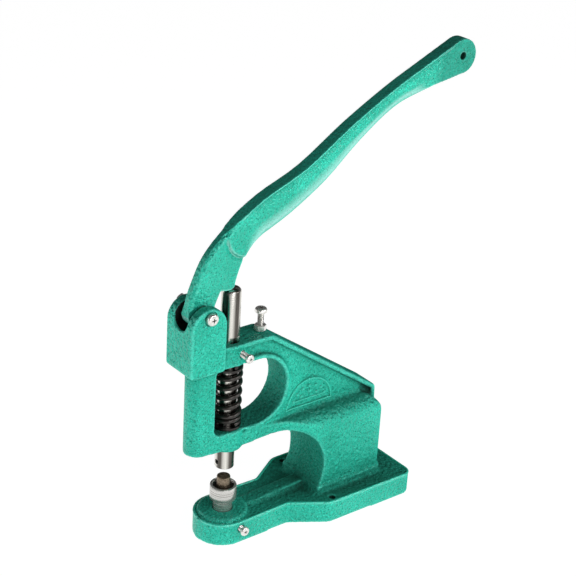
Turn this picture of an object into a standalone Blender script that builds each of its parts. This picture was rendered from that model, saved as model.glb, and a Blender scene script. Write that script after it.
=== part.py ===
"""Snap setting press: a bench press that sets snaps and eyelets with a hand lever.

The origin is on the flat underside, below the common axis of the ram and the lower die.
-Y is the nose, +Y the column, +Z up. Dimensions are in millimetres and become metres when
a shape is made.
"""

import math

import bmesh
import bpy
from mathutils import Matrix, Vector

MM = 0.001
GAP = 0.3
PARTS = "snap_setting_press"
CUTTERS = "cutters"

# Base
BASE_HEIGHT = 22.0
NOSE_RADIUS = 28.0
NECK_HALF = 25.8
BASE_HALF = 48.5
BASE_REAR = 197.5
DIE_BOSS_RADIUS = 24.0
DIE_BOSS_TOP = 26.0
BENCH_HOLE_RADIUS = 3.5
BENCH_HOLE = (39.0, 102.0)
SPINE_HALF = 7.5
BURIED = 18.0

# Column and throat
THROAT_CENTRE = (52.0, 51.5)
THROAT_RADIUS = 47.5
COLUMN_HALF = 27.3
COLUMN_REAR = 170.0
COLUMN_FOOT_REAR = 171.5
COLUMN_CORNER = 7.0
SHOULDER_TOP = 111.0
SHOULDER_RADIUS = 18.0
REAR_SHOULDER_RADIUS = 24.0
PLINTH_HALF = 29.0
PLINTH_TOP = 29.5

# Arm
ARM_TOP = 203.0
FLANGE_HALF = 15.0
FLANGE_THICKNESS = 5.0
WEB_HALF = 11.0
ARM_CREST = (38.4, 203.0)
ARM_HEEL = (168.3, 113.8)
ARM_FOOT = (169.5, 96.0)
BADGE_CENTRE = (86.0, 116.5)
BADGE_RADIUS = 28.0
BADGE_RELIEF = 1.6

# Head
LUG_RADIUS = 16.0
HEAD_BOTTOM = 93.0
FRONT_BOTTOM = 97.0
FRONT_RADIUS = 12.4
FRONT_Y = -32.4
WINDOW_FRONT = -22.0
WINDOW_BOTTOM = 115.0
WINDOW_TOP = 182.0
WINDOW_ARC_Y = 23.5

# Yoke and pivot
YOKE_HALF = 20.0
YOKE_FRONT = -54.8
YOKE_REAR = -17.5
YOKE_BOTTOM = 184.0
EAR_CENTRE_Z = 230.5
SLOT_HALF = 10.4
SLOT_FLOOR = 224.5
SLOT_FRONT = -51.3
NOTCH_CENTRE_Z = 236.4
PIVOT = (-35.4, 240.5)
BOLT_RADIUS = 3.0
SPACER_RADIUS = 7.0
WASHER_THICKNESS = 1.0

# Handle
HANDLE_HALF = 6.8
TANG_HALF = 5.8
BOSS_RADIUS = 14.3
KNOB = (248.5, 430.0)
KNOB_RADIUS = 16.8
HANG_HOLE = (249.0, 430.6)
HANG_HOLE_RADIUS = 3.5
HEEL_CENTRE = (-6.0, 260.2)
HEEL_RADIUS = 6.0
RELIEF_CENTRE = (10.5, 303.2)
RELIEF_RADIUS = 20.0
GRIP_ROUNDING = 5.0

# Ram and its spring
RAM_RADIUS = 9.0
RAM_BOTTOM = 71.6
RAM_TOP = 253.9
RAM_SOCKET_RADIUS = 4.1
RAM_SOCKET_DEPTH = 22.0
CROSS_PIN_Z = 179.2
CROSS_PIN_RADIUS = 2.0
CROSS_PIN_HALF = 12.5
GUIDE_FLAT = (7.3, 187.0, 208.0)
SEAT_RADIUS = 13.6
SPRING_BOTTOM = 117.8
SPRING_TOP = 174.4
SPRING_WIRE = 2.2
SPRING_MEAN = 11.55
SET_SCREW_Z = 78.0
SET_SCREW_RADIUS = 2.0

# Lower die
DIE_STEM_BOTTOM = 5.3
DIE_STEP = 36.5
DIE_TOP = 51.0
DIE_CUP_RADIUS = 12.6
DIE_CUP_BORE = 10.0
DIE_CUP_FLOOR = 40.0
PILOT_RADIUS = 6.35
PILOT_TOP = 60.0
PILOT_TRAVEL = 5.0
PILOT_STEM_RADIUS = 2.4
PILOT_FLANGE_RADIUS = 8.8
PILOT_FLANGE = 2.0
SPRING_WELL_RADIUS = 6.4
SPRING_WELL_FLOOR = 20.0
PILOT_BORE_FLOOR = 8.5
CLIP_THICKNESS = 1.0

# Screws on the casting: axis position, and where the underside of the head is
CLAMP_AXIS = (3.0, 15.0)
CLAMP_HEAD_X = 31.1
GUIDE_AXIS = (4.5, 192.8)
GUIDE_HEAD_X = 24.0
STOP_Y = 34.0
STOP_HEAD_Z = 221.5
STOP_LENGTH = 33.0
STOP_NUT_HEIGHT = 5.5

# Directions in which flat outlines are extruded: outline x, outline y, thickness
PLAN = Matrix(((1, 0, 0), (0, 1, 0), (0, 0, 1)))
SIDE = Matrix(((0, 0, 1), (1, 0, 0), (0, 1, 0)))
FRONT = Matrix(((1, 0, 0), (0, 0, -1), (0, 1, 0)))

# Turning axes: the axis of a turned piece points along these
ALONG_Z = Matrix.Identity(3)
ALONG_X = Matrix(((0, 0, 1), (0, 1, 0), (-1, 0, 0)))
ALONG_MINUS_X = Matrix(((0, 0, -1), (0, 1, 0), (1, 0, 0)))
ALONG_MINUS_Y = Matrix(((1, 0, 0), (0, 0, -1), (0, 1, 0)))

# Looks: colour, roughness, metallic
GREEN_PAINT = ((0.03, 0.36, 0.25), 0.35, 0.0)
STEEL = ((0.62, 0.61, 0.59), 0.25, 1.0)
DARK_STEEL = ((0.03, 0.03, 0.03), 0.35, 1.0)
ZINC = ((0.75, 0.75, 0.74), 0.3, 1.0)
BRONZE = ((0.33, 0.26, 0.17), 0.4, 1.0)


# ---------------------------------------------------------------- scene and helpers


def clear_scene():
    for obj in list(bpy.data.objects):
        bpy.data.objects.remove(obj, do_unlink=True)


def make_collection(name):
    collection = bpy.data.collections.new(name)
    bpy.context.scene.collection.children.link(collection)
    return collection


def make_material(name, colour, roughness, metallic):
    material = bpy.data.materials.new(name)
    material.use_nodes = True
    shader = material.node_tree.nodes["Principled BSDF"]
    shader.inputs["Base Color"].default_value = (*colour, 1.0)
    shader.inputs["Roughness"].default_value = roughness
    shader.inputs["Metallic"].default_value = metallic
    material.diffuse_color = (*colour, 1.0)
    return material


def link(obj, collection_name=PARTS):
    bpy.data.collections[collection_name].objects.link(obj)
    return obj


def finish(obj, look):
    """Gives a part its own copy of a material and smooth shading up to 35 degrees."""
    material = make_material(obj.name, *look)
    obj.data.materials.clear()
    obj.data.materials.append(material)
    obj.data.shade_smooth()
    obj.data.set_sharp_from_angle(angle=math.radians(35))
    return obj


def move_origin(obj, point):
    """Puts the object's origin at a point given in millimetres, leaving its shape in place."""
    offset = Vector(point) * MM
    obj.data.transform(Matrix.Translation(-offset))
    obj.location = offset


def arc(centre, radius, start, end, step=10.0):
    """Points along an arc in degrees, both ends included."""
    count = max(2, int(round(abs(end - start) / step)) + 1)
    points = []
    for i in range(count):
        angle = math.radians(start + (end - start) * i / (count - 1))
        points.append((centre[0] + radius * math.cos(angle), centre[1] + radius * math.sin(angle)))
    return points


def rounded(corners, step=15.0):
    """An outline through (x, y, radius) corners, each corner rounded with its radius."""
    points = []
    for i, (x, y, radius) in enumerate(corners):
        here = Vector((x, y))
        back = (Vector(corners[i - 1][:2]) - here).normalized()
        on = (Vector(corners[(i + 1) % len(corners)][:2]) - here).normalized()
        if radius <= 0:
            points.append((x, y))
            continue
        half = back.angle(on) / 2
        reach = radius / math.tan(half)
        centre = here + (back + on).normalized() * (radius / math.sin(half))
        first = here + back * reach - centre
        last = here + on * reach - centre
        turn = first.angle_signed(last)
        count = max(2, int(round(abs(math.degrees(turn)) / step)) + 1)
        for k in range(count):
            angle = -turn * k / (count - 1)
            spoke = Matrix.Rotation(angle, 2) @ first
            points.append((centre.x + spoke.x, centre.y + spoke.y))
    return points


def smooth_through(points, spans=4):
    """A Catmull-Rom curve through the points, with a number of steps for each span."""
    ends = [points[0], *points, points[-1]]
    curve = []
    for i in range(1, len(ends) - 2):
        p0, p1, p2, p3 = (Vector(ends[i + k]) for k in (-1, 0, 1, 2))
        for k in range(spans):
            t = k / spans
            a = 2 * p1
            b = (p2 - p0) * t
            c = (2 * p0 - 5 * p1 + 4 * p2 - p3) * t * t
            d = (3 * p1 - p0 - 3 * p2 + p3) * t * t * t
            curve.append(tuple((a + b + c + d) / 2))
    curve.append(tuple(points[-1]))
    return curve


def extruded(name, outline, low, high, plane, collection_name=PARTS):
    """A flat outline extruded between two heights, measured along +X, -Y or +Z."""
    curve = bpy.data.curves.new(name, "CURVE")
    curve.dimensions = "2D"
    curve.fill_mode = "BOTH"
    curve.extrude = (high - low) / 2 * MM
    spline = curve.splines.new("POLY")
    spline.points.add(len(outline) - 1)
    for point, (x, y) in zip(spline.points, outline):
        point.co = (x * MM, y * MM, 0.0, 1.0)
    spline.use_cyclic_u = True
    flat = link(bpy.data.objects.new(name + "_outline", curve))
    return solid_from_curve(name, flat, plane.to_4x4(), (low + high) / 2, collection_name)


def solid_from_curve(name, curve_object, turn, shift, collection_name=PARTS):
    """The closed mesh of a curve object, which it replaces."""
    view = bpy.context.evaluated_depsgraph_get()
    view.update()
    mesh = bpy.data.meshes.new_from_object(curve_object.evaluated_get(view))
    mesh.name = name
    mesh.transform(turn @ Matrix.Translation((0, 0, shift * MM)))
    work = bmesh.new()
    work.from_mesh(mesh)
    bmesh.ops.remove_doubles(work, verts=work.verts, dist=1e-6)
    bmesh.ops.recalc_face_normals(work, faces=work.faces)
    work.to_mesh(mesh)
    work.free()
    bpy.data.objects.remove(curve_object, do_unlink=True)
    return link(bpy.data.objects.new(name, mesh), collection_name)


def turned(name, profile, place, axis=ALONG_Z, steps=32, collection_name=PARTS):
    """A turned solid: (radius, height) points from its top axis point down its outer side."""
    mesh = bpy.data.meshes.new(name)
    points = [(radius * MM, 0.0, height * MM) for radius, height in profile]
    mesh.from_pydata(points, [(i, i + 1) for i in range(len(points) - 1)], [])
    obj = link(bpy.data.objects.new(name, mesh), collection_name)
    obj.matrix_world = Matrix.Translation(Vector(place) * MM) @ axis.to_4x4()
    screw = obj.modifiers.new("turn", "SCREW")
    screw.steps = steps
    screw.render_steps = steps
    screw.use_merge_vertices = True
    screw.merge_threshold = 0.00001
    return obj


def ring(name, inner, outer, bottom, top, place, axis=ALONG_Z, steps=32):
    """A turned washer or sleeve, whose profile is a closed loop."""
    loop = [(inner, top), (outer, top), (outer, bottom), (inner, bottom), (inner, top)]
    return turned(name, loop, place, axis, steps)


def rod(name, radius, bottom, top, place, axis=ALONG_Z, steps=24, collection_name=CUTTERS):
    profile = [(0, top), (radius, top), (radius, bottom), (0, bottom)]
    return turned(name, profile, place, axis, steps, collection_name)


def combine(target, tool, operation):
    """Adds a Boolean and puts its tool away among the cutters."""
    for collection in list(tool.users_collection):
        collection.objects.unlink(tool)
    link(tool, CUTTERS)
    tool.hide_render = True
    tool.display_type = "WIRE"
    modifier = target.modifiers.new(tool.name, "BOOLEAN")
    modifier.operation = operation
    modifier.solver = "EXACT"
    modifier.object = tool
    return target


def join(target, tool):
    return combine(target, tool, "UNION")


def cut(target, tool):
    return combine(target, tool, "DIFFERENCE")


def round_edges(obj, width, weight, segments=2, least=30.0):
    """Bevels the sharp edges, each with the weight that a function gives for its middle."""
    mesh = obj.data
    work = bmesh.new()
    work.from_mesh(mesh)
    layer = work.edges.layers.float.new("bevel_weight_edge")
    for edge in work.edges:
        if len(edge.link_faces) != 2 or edge.calc_face_angle() < math.radians(least):
            continue
        middle = (edge.verts[0].co + edge.verts[1].co) / (2 * MM)
        edge[layer] = weight(middle)
    work.to_mesh(mesh)
    work.free()
    bevel = obj.modifiers.new("edges", "BEVEL")
    bevel.limit_method = "WEIGHT"
    bevel.width = width * MM
    bevel.segments = segments
    bevel.use_clamp_overlap = True
    return obj


def mirrored(half):
    """A closed outline from the points of its +X side, listed from front to rear."""
    return half + [(-x, y) for x, y in reversed(half)]


# ---------------------------------------------------------------- the frame casting


def base_plate():
    corners = [
        (NOSE_RADIUS, -NOSE_RADIUS, NOSE_RADIUS - 0.01),
        (NECK_HALF, 59.0, 10.0),
        (BASE_HALF - 1.0, 94.0, 16.0),
        (BASE_HALF, BASE_REAR, 10.0),
    ]
    corners += [(-x, y, r) for x, y, r in reversed(corners)]
    plate = extruded("frame_casting", rounded(corners, 12), 0.0, BASE_HEIGHT, PLAN)
    return round_edges(plate, 3.0, lambda p: 1.0 if p.z > BASE_HEIGHT - 1 else 0.0, 3)


def die_boss():
    top = DIE_BOSS_TOP
    edge = DIE_BOSS_RADIUS
    profile = [(0, top), (edge - 2.0, top), (edge - 0.6, top - 0.6), (edge, top - 2.0)]
    profile += [(edge, BURIED), (0, BURIED)]
    return turned("die_boss", profile, (0, 0, 0), steps=48)


def spine():
    outline = [(18.0, BURIED), (22.0, 25.0), (60.0, 26.6), (96.0, 28.6), (96.0, BURIED)]
    blank = extruded("spine", outline, -SPINE_HALF, SPINE_HALF, SIDE)
    return round_edges(blank, 3.0, lambda p: 1.0 if abs(p.x) > SPINE_HALF - 1 and p.z > 20 else 0.0)


def column():
    """The column with the arm's lower flange: side, plan and front outlines intersected."""
    side = [(6.0, SHOULDER_TOP), (6.0, 97.0), (20.0, 97.0), (34.0, 98.2)]
    side += arc(THROAT_CENTRE, THROAT_RADIUS, 98.0, -42.0, 8)
    side += [(86.5, BURIED), (COLUMN_FOOT_REAR, BURIED)]
    corner = REAR_SHOULDER_RADIUS
    side += arc((COLUMN_REAR - corner, SHOULDER_TOP - corner), corner, 0.0, 90.0, 15)
    blank = extruded("column", side, -COLUMN_HALF - 5, COLUMN_HALF + 5, SIDE)
    half = smooth_through([
        (14.5, 0), (14.7, 20), (15.2, 40), (18, 56), (22, 68), (25, 80), (26.9, 94),
    ], 2)
    corner = COLUMN_CORNER
    half += [(COLUMN_HALF, 106.0)]
    half += arc((COLUMN_HALF - corner, COLUMN_FOOT_REAR - corner), corner, 0.0, 90.0, 15)
    plan = extruded("column_plan", mirrored(half), 0.0, 130.0, PLAN)
    top = (SHOULDER_TOP, SHOULDER_RADIUS)
    shoulders = [(-COLUMN_HALF, 0, 0), (COLUMN_HALF, 0, 0), (COLUMN_HALF, *top), (-COLUMN_HALF, *top)]
    front = extruded("column_front", rounded(shoulders), -180.0, 10.0, FRONT)
    combine(blank, plan, "INTERSECT")
    return combine(blank, front, "INTERSECT")


def plinth():
    half = PLINTH_HALF
    corners = [(half, 92.5, 2.0), (half, 174.0, 9.0), (-half, 174.0, 9.0), (-half, 92.5, 2.0)]
    foot = extruded("plinth", rounded(corners), BURIED, PLINTH_TOP, PLAN)
    return round_edges(foot, 3.0, lambda p: 1.0 if p.z > PLINTH_TOP - 1 else 0.0)


def arm_web():
    outline = [(4.0, 104.0), (4.0, 201.0), (38.0, 201.0), (165.5, 113.0), (166.0, 100.0), (150.0, 95.0)]
    outline += [(60.0, 103.5)]
    return extruded("arm_web", outline, -WEB_HALF, WEB_HALF, SIDE)


def arm_flange():
    """The raised rim along the arm's flat top, its slope and its rear end."""
    outer = [Vector((6.0, ARM_TOP)), Vector(ARM_CREST), Vector(ARM_HEEL), Vector(ARM_FOOT)]
    slope = (outer[2] - outer[1]).normalized()
    inward = Vector((slope.y, -slope.x))
    drop = FLANGE_THICKNESS
    inner_crest = outer[1] + inward * drop
    inner_crest.x += (inner_crest.y - (ARM_TOP - drop)) * slope.x / -slope.y
    inner_crest.y = ARM_TOP - drop
    inner_heel = Vector((ARM_HEEL[0] - drop, 0))
    inner_heel.y = inner_crest.y + (inner_heel.x - inner_crest.x) * slope.y / slope.x
    corners = [(outer[0].x, outer[0].y, 0), (outer[1].x, outer[1].y, 9.0)]
    corners += [(outer[2].x, outer[2].y, 4.0), (outer[3].x, outer[3].y, 0)]
    corners += [(outer[3].x - drop, outer[3].y, 0), (inner_heel.x, inner_heel.y, 1.5)]
    corners += [(inner_crest.x, inner_crest.y, 6.0), (outer[0].x, ARM_TOP - drop, 0)]
    strip = extruded("arm_flange", rounded(corners, 12), -FLANGE_HALF, FLANGE_HALF, SIDE)
    return round_edges(strip, 1.5, lambda p: 1.0 if abs(p.x) > FLANGE_HALF - 1 and p.y > 8 else 0.0)


def window_radius():
    return (WINDOW_TOP - WINDOW_BOTTOM) / 2


def window_centre():
    return (WINDOW_ARC_Y, (WINDOW_TOP + WINDOW_BOTTOM) / 2)


def window_rim():
    centre = window_centre()
    outer = window_radius() + 4.5
    top = FLANGE_HALF
    profile = [(0, top), (outer - 1.2, top), (outer, top - 1.2)]
    profile += [(outer, 1.2 - top), (outer - 1.2, -top), (0, -top)]
    return turned("window_rim", profile, (0, *centre), ALONG_X, 48)


def web_swell():
    """A low cone on each side that brings the web out to the rim behind the window."""
    high = FLANGE_HALF - 1.0
    low = WEB_HALF - 0.5
    profile = [(0, high), (24, high), (46, low), (46, -low), (24, -high), (0, -high)]
    cone = turned("web_swell", profile, (0, 40.0, 138.0), ALONG_X, 48)
    limit = [(10.0, 104.0), (10.0, 199.0), (36.0, 199.0), (150.0, 120.0), (150.0, 104.0)]
    return combine(cone, extruded("swell_limit", limit, -20.0, 20.0, SIDE), "INTERSECT")


def blank_badge():
    """A plain half-round pad on the web, with nothing on it."""
    outline = arc(BADGE_CENTRE, BADGE_RADIUS, 0.0, 180.0, 10)
    return extruded("blank_badge", outline, 0.0, WEB_HALF + BADGE_RELIEF, SIDE)


def head_front():
    """The bar in front of the ram, drawn in to meet the round lugs."""
    lean = math.degrees(math.asin((LUG_RADIUS - FRONT_RADIUS) / -FRONT_Y))
    outline = arc((0, FRONT_Y), FRONT_RADIUS, 180.0 + lean, 360.0 - lean, 12)
    outline += arc((0, 0), LUG_RADIUS - GAP, -lean, 180.0 + lean, 12)
    blank = extruded("head_front", outline, FRONT_BOTTOM, ARM_TOP, PLAN)
    return round_edges(blank, 3.0, lambda p: 1.0 if p.z < FRONT_BOTTOM + 1 and p.y < 0 else 0.0)


def lug():
    edge = LUG_RADIUS
    profile = [(0, 120.0), (edge, 120.0), (edge, HEAD_BOTTOM + 2.5), (edge - 0.8, HEAD_BOTTOM + 0.8)]
    profile += [(edge - 2.5, HEAD_BOTTOM), (0, HEAD_BOTTOM)]
    return turned("lug", profile, (0, 0, 0), steps=36)


def yoke():
    radius = (YOKE_REAR - YOKE_FRONT) / 2
    middle = (YOKE_REAR + YOKE_FRONT) / 2
    bottom = [(YOKE_REAR, YOKE_BOTTOM, 3.0), (YOKE_FRONT, YOKE_BOTTOM, 4.0)]
    top = [(YOKE_FRONT, EAR_CENTRE_Z, 0), (YOKE_REAR, EAR_CENTRE_Z, 0)]
    outline = rounded(bottom + top)[:-2] + arc((middle, EAR_CENTRE_Z), radius, 180.0, 0.0, 12)
    block = extruded("yoke", outline, -YOKE_HALF, YOKE_HALF, SIDE)
    return round_edges(block, 3.5, lambda p: 1.0 if abs(p.x) > YOKE_HALF - 1 else 0.0)


def yoke_slot():
    rear, top = -8.0, 262.0
    outline = [(SLOT_FRONT, SLOT_FLOOR), (rear, SLOT_FLOOR), (rear, top), (SLOT_FRONT, top)]
    return extruded("yoke_slot", outline, -SLOT_HALF, SLOT_HALF, SIDE)


def yoke_notch():
    outline = arc((0, NOTCH_CENTRE_Z), SLOT_HALF, 180.0, 360.0, 15)
    outline += [(SLOT_HALF, 262.0), (-SLOT_HALF, 262.0)]
    return extruded("yoke_notch", outline, 8.0, 62.0, FRONT)


def window_cutter():
    radius = window_radius()
    corners = rounded([
        (WINDOW_FRONT, WINDOW_TOP, 5.0),
        (WINDOW_FRONT, WINDOW_BOTTOM, 5.0),
        (WINDOW_ARC_Y, WINDOW_BOTTOM, 0),
        (WINDOW_ARC_Y, WINDOW_TOP, 0),
    ])
    outline = corners[:-2] + arc((WINDOW_ARC_Y, WINDOW_BOTTOM + radius), radius, -90.0, 90.0, 9)
    return extruded("window_cutter", outline, -40.0, 40.0, SIDE)


def frame_casting():
    frame = base_plate()
    for tool in (
        die_boss(), spine(), column(), plinth(), arm_web(), arm_flange(), window_rim(), web_swell(),
        blank_badge(), head_front(), lug(), yoke(),
    ):
        join(frame, tool)
    bore = RAM_RADIUS + GAP
    hole = BOLT_RADIUS + GAP
    cut(frame, window_cutter())
    cut(frame, yoke_slot())
    cut(frame, yoke_notch())
    cut(frame, rod("ram_bore", bore, 80.0, 215.0, (0, 0, 0), steps=40))
    cut(frame, rod("die_socket", bore, 5.0, 60.0, (0, 0, 0), steps=40))
    cut(frame, rod("clamp_hole", hole, 4.0, 60.0, (0, *CLAMP_AXIS), ALONG_X))
    cut(frame, rod("guide_hole", hole, 4.0, 60.0, (0, *GUIDE_AXIS), ALONG_X))
    cut(frame, rod("stop_hole", hole, 186.0, 215.0, (0, STOP_Y, 0)))
    cut(frame, rod("pivot_hole", hole, -60.0, 60.0, (0, *PIVOT), ALONG_X))
    for side in (-1, 1):
        x, y = BENCH_HOLE
        cut(frame, rod(f"bench_hole_{side}", BENCH_HOLE_RADIUS, -10.0, 40.0, (side * x, y, 0)))
    return finish(frame, GREEN_PAINT)


# ---------------------------------------------------------------- handle and pivot


def handle_outline():
    """The lever seen from the side: front and top edge, knob, lower edge, heel and boss."""
    top = smooth_through([
        (-49.3, 240.5), (-47.4, 252.0), (-42.0, 267.4), (-30.0, 290.8), (-7.0, 312.8), (27.0, 334.3),
        (72.0, 353.8), (121.0, 385.3), (168.3, 411.5), (206.6, 429.3), (240.6, 444.8),
    ])
    knob = arc(KNOB, KNOB_RADIUS, 112.0, -92.0, 12)
    lower = smooth_through([
        (234.0, 410.6), (206.0, 405.3), (170.0, 393.2), (133.0, 368.3), (97.0, 338.0), (58.5, 314.0),
        (25.2, 298.2), (11.3, 286.9), (4.3, 273.9), (0.0, 261.0),
    ])
    heel = arc(HEEL_CENTRE, HEEL_RADIUS, -8.0, -95.0, 15)
    tang = [(-11.5, 254.8), (-15.5, 256.0), (-19.5, 247.5)]
    boss = arc(PIVOT, BOSS_RADIUS, 10.0, -172.0, 12)
    return top + knob + lower + heel + tang + boss


def lower_edge_weight(middle):
    """A wide rounding along the lower edge of the grip, a small one everywhere else."""
    small = 0.4
    straight = middle.z - (300.0 + (middle.y - 24.0) * 0.78)
    if straight > 8.0 or not 12.0 < middle.y < 205.0:
        return small
    fade = min((middle.y - 12.0) / 20.0, (205.0 - middle.y) / 30.0, 1.0)
    return small + (1.0 - small) * fade


def handle():
    lever = extruded("handle", handle_outline(), -HANDLE_HALF, HANDLE_HALF, SIDE)
    round_edges(lever, GRIP_ROUNDING, lower_edge_weight, 3, 40.0)
    relief = [(-70.0, 215.0), (-70.0, 325.0), (-16.0, 325.0)]
    relief += arc(RELIEF_CENTRE, RELIEF_RADIUS, 145.0, 275.0, 12)
    relief += [(14.0, 280.0), (14.0, 215.0)]
    for side in (-1, 1):
        low, high = sorted((side * TANG_HALF, side * (HANDLE_HALF + 4)))
        cut(lever, extruded(f"tang_relief_{side}", relief, low, high, SIDE))
    cut(lever, rod("handle_bore", BOLT_RADIUS + GAP, -30.0, 30.0, (0, *PIVOT), ALONG_X))
    cut(lever, rod("hang_hole", HANG_HOLE_RADIUS, -30.0, 30.0, (0, *HANG_HOLE), ALONG_X))
    move_origin(lever, (0, *PIVOT))
    return finish(lever, GREEN_PAINT)


def pan_screw(name, head_radius, head_height, length, place, axis, steps=24):
    """A screw whose head's underside is at its place and whose shank runs back from there."""
    profile = [
        (0, head_height), (head_radius - 1.2, head_height), (head_radius, head_height - 1.2),
        (head_radius, 0), (BOLT_RADIUS, 0), (BOLT_RADIUS, -length + 0.6),
        (BOLT_RADIUS - 0.6, -length), (0, -length),
    ]
    return turned(name, profile, place, axis, steps)


def hex_nut(name, across, height, place, axis):
    """A hexagon nut with a plain bore, standing on its place."""
    radius = across / 2 / math.cos(math.radians(30))
    outline = arc((0, 0), radius, 0.0, 300.0, 60.0)
    nut = extruded(name, outline, 0.0, height, PLAN)
    nut.matrix_world = Matrix.Translation(Vector(place) * MM) @ axis.to_4x4()
    cut(nut, rod(name + "_bore", BOLT_RADIUS + GAP, -5.0, height + 5.0, place, axis))
    return nut


def pivot_set():
    face = YOKE_HALF + GAP
    bore = BOLT_RADIUS + GAP
    nut_face = face + WASHER_THICKNESS + GAP
    bolt = pan_screw("pivot_bolt", 5.8, 4.6, 47.0, (face, *PIVOT), ALONG_X)
    washer = ring("pivot_washer", bore, 6.4, 0.0, WASHER_THICKNESS, (-face, *PIVOT), ALONG_MINUS_X, 24)
    nut = hex_nut("pivot_nut", 11.0, 4.4, (-nut_face, *PIVOT), ALONG_MINUS_X)
    for obj in (bolt, washer, nut):
        finish(obj, ZINC)
    inner, outer = TANG_HALF + GAP, SLOT_HALF - GAP
    for name, axis in (("pivot_spacer_left", ALONG_MINUS_X), ("pivot_spacer_right", ALONG_X)):
        spacer = ring(name, bore, SPACER_RADIUS, inner, outer, (0, *PIVOT), axis, 24)
        finish(spacer, STEEL)


# ---------------------------------------------------------------- ram, spring and seats


def ram():
    top = RAM_TOP
    socket_top = RAM_BOTTOM + RAM_SOCKET_DEPTH
    profile = [
        (0, top), (7.0, top - 0.15), (8.0, top - 0.8), (RAM_RADIUS, top - 2.2),
        (RAM_RADIUS, RAM_BOTTOM + 0.6), (RAM_RADIUS - 0.6, RAM_BOTTOM), (RAM_SOCKET_RADIUS, RAM_BOTTOM),
        (RAM_SOCKET_RADIUS, socket_top), (0, socket_top + 2.0),
    ]
    plunger = turned("ram", profile, (0, 0, 0), steps=40)
    pin_place = (0, 0, CROSS_PIN_Z)
    cut(plunger, rod("cross_pin_hole", CROSS_PIN_RADIUS + GAP, -20.0, 20.0, pin_place, ALONG_X))
    screw_place = (0, 0, SET_SCREW_Z)
    cut(plunger, rod("set_screw_hole", SET_SCREW_RADIUS + GAP, 2.0, 20.0, screw_place, ALONG_MINUS_Y))
    flat_x, flat_low, flat_high = GUIDE_FLAT
    flat = [(flat_x, -RAM_RADIUS), (12.0, -RAM_RADIUS), (12.0, RAM_RADIUS), (flat_x, RAM_RADIUS)]
    cut(plunger, extruded("guide_flat", flat, flat_low, flat_high, PLAN))
    finish(plunger, STEEL)
    half = CROSS_PIN_HALF
    pin = rod("ram_cross_pin", CROSS_PIN_RADIUS, -half, half, pin_place, ALONG_X, 24, PARTS)
    finish(pin, DARK_STEEL)
    tip = RAM_SOCKET_RADIUS + GAP
    flush = RAM_RADIUS - 0.4
    screw = rod("upper_die_set_screw", SET_SCREW_RADIUS, tip, flush, screw_place, ALONG_MINUS_Y, 20, PARTS)
    finish(screw, DARK_STEEL)


def coil(name, wire, mean, bottom, top, closed_low, open_turns, closed_high, per_turn):
    """A compression spring with closed end turns, as one tube along a helix."""
    first = bottom + wire
    last = top - wire
    closed_pitch = 2 * wire + 0.4
    open_pitch = (last - first - (closed_low + closed_high) * closed_pitch) / open_turns
    turns = closed_low + open_turns + closed_high
    count = int(turns * per_turn) + 1
    curve = bpy.data.curves.new(name, "CURVE")
    curve.dimensions = "3D"
    curve.bevel_depth = wire * MM
    curve.bevel_resolution = 2
    curve.use_fill_caps = True
    spline = curve.splines.new("POLY")
    spline.points.add(count - 1)
    for i, point in enumerate(spline.points):
        turn = turns * i / (count - 1)
        low = min(turn, closed_low)
        middle = min(max(turn - closed_low, 0.0), open_turns)
        high = max(turn - closed_low - open_turns, 0.0)
        height = first + (low + high) * closed_pitch + middle * open_pitch
        angle = 2 * math.pi * turn
        point.co = (mean * math.cos(angle) * MM, mean * math.sin(angle) * MM, height * MM, 1.0)
    helix = link(bpy.data.objects.new(name + "_path", curve))
    return solid_from_curve(name, helix, Matrix.Identity(4), 0.0)


def ram_spring_set():
    hole = RAM_RADIUS + GAP
    upper_seat_top = CROSS_PIN_Z - CROSS_PIN_RADIUS - GAP
    upper = ring("spring_seat_upper", hole, SEAT_RADIUS, SPRING_TOP + GAP, upper_seat_top, (0, 0, 0))
    low, high = WINDOW_BOTTOM + GAP, SPRING_BOTTOM - GAP
    lower = ring("spring_seat_lower", hole, SEAT_RADIUS, low, high, (0, 0, 0))
    finish(upper, DARK_STEEL)
    finish(lower, DARK_STEEL)
    spring = coil("ram_spring", SPRING_WIRE, SPRING_MEAN, SPRING_BOTTOM, SPRING_TOP, 2.0, 3.8, 1.0, 20)
    finish(spring, DARK_STEEL)


# ---------------------------------------------------------------- lower die


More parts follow.
